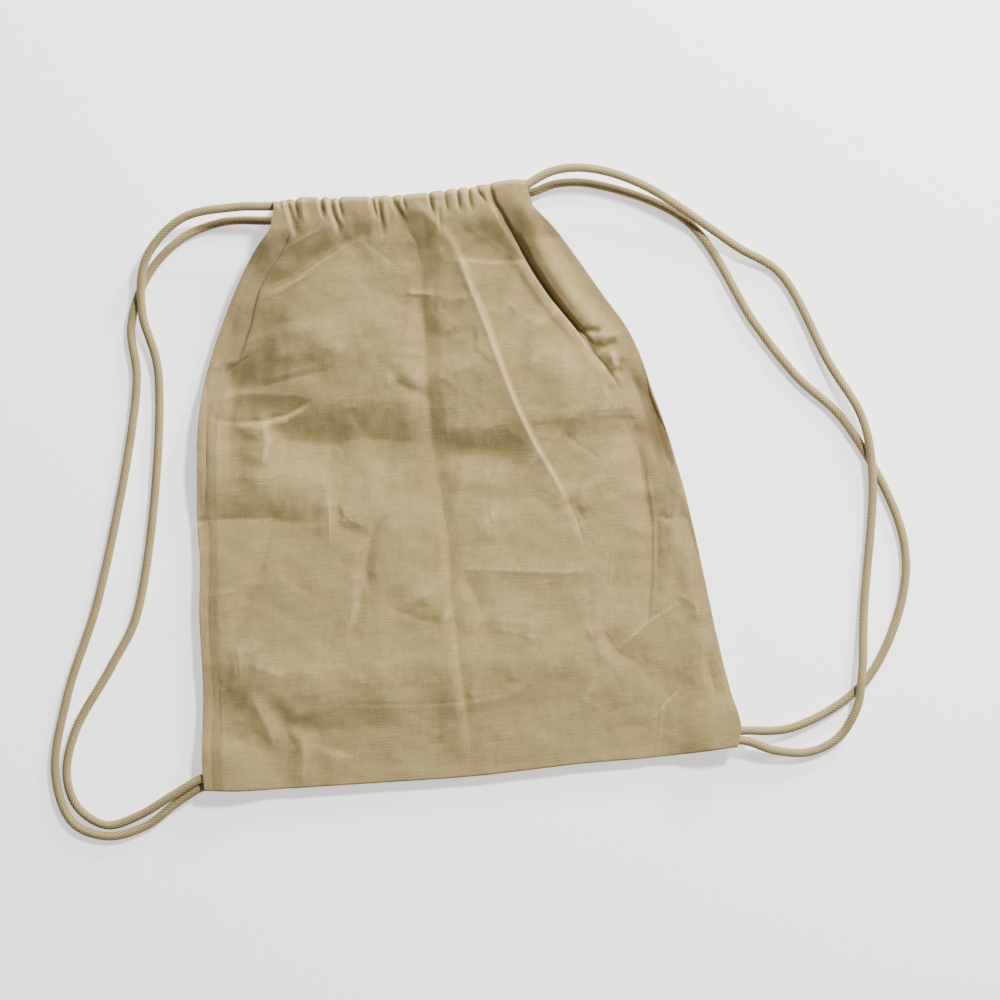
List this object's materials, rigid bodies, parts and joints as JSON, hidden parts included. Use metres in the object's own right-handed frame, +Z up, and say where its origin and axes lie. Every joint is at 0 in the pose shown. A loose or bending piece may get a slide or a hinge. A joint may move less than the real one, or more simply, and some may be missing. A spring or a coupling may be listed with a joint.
{
  "type": "drawstring bag",
  "caption": "A cotton drawstring backpack lying flat, its mouth drawn in on two braided cords that double as shoulder straps.",
  "frame": {"origin": "on the resting surface, under the middle of the cloth bag", "axes": "+Z up from the surface, +Y along the bag towards its mouth, +X across it to the right as the mouth points away"},
  "size_m": [0.6201, 0.4441, 0.0328],
  "materials": {
    "calico": "matte plain weave, unbleached",
    "braid": "matte braided cotton"
  },
  "bodies": {
    "root": {"front_panel": "calico", "back_panel": "calico", "cord_left": "braid", "cord_right": "braid"}
  },
  "joints": []
}
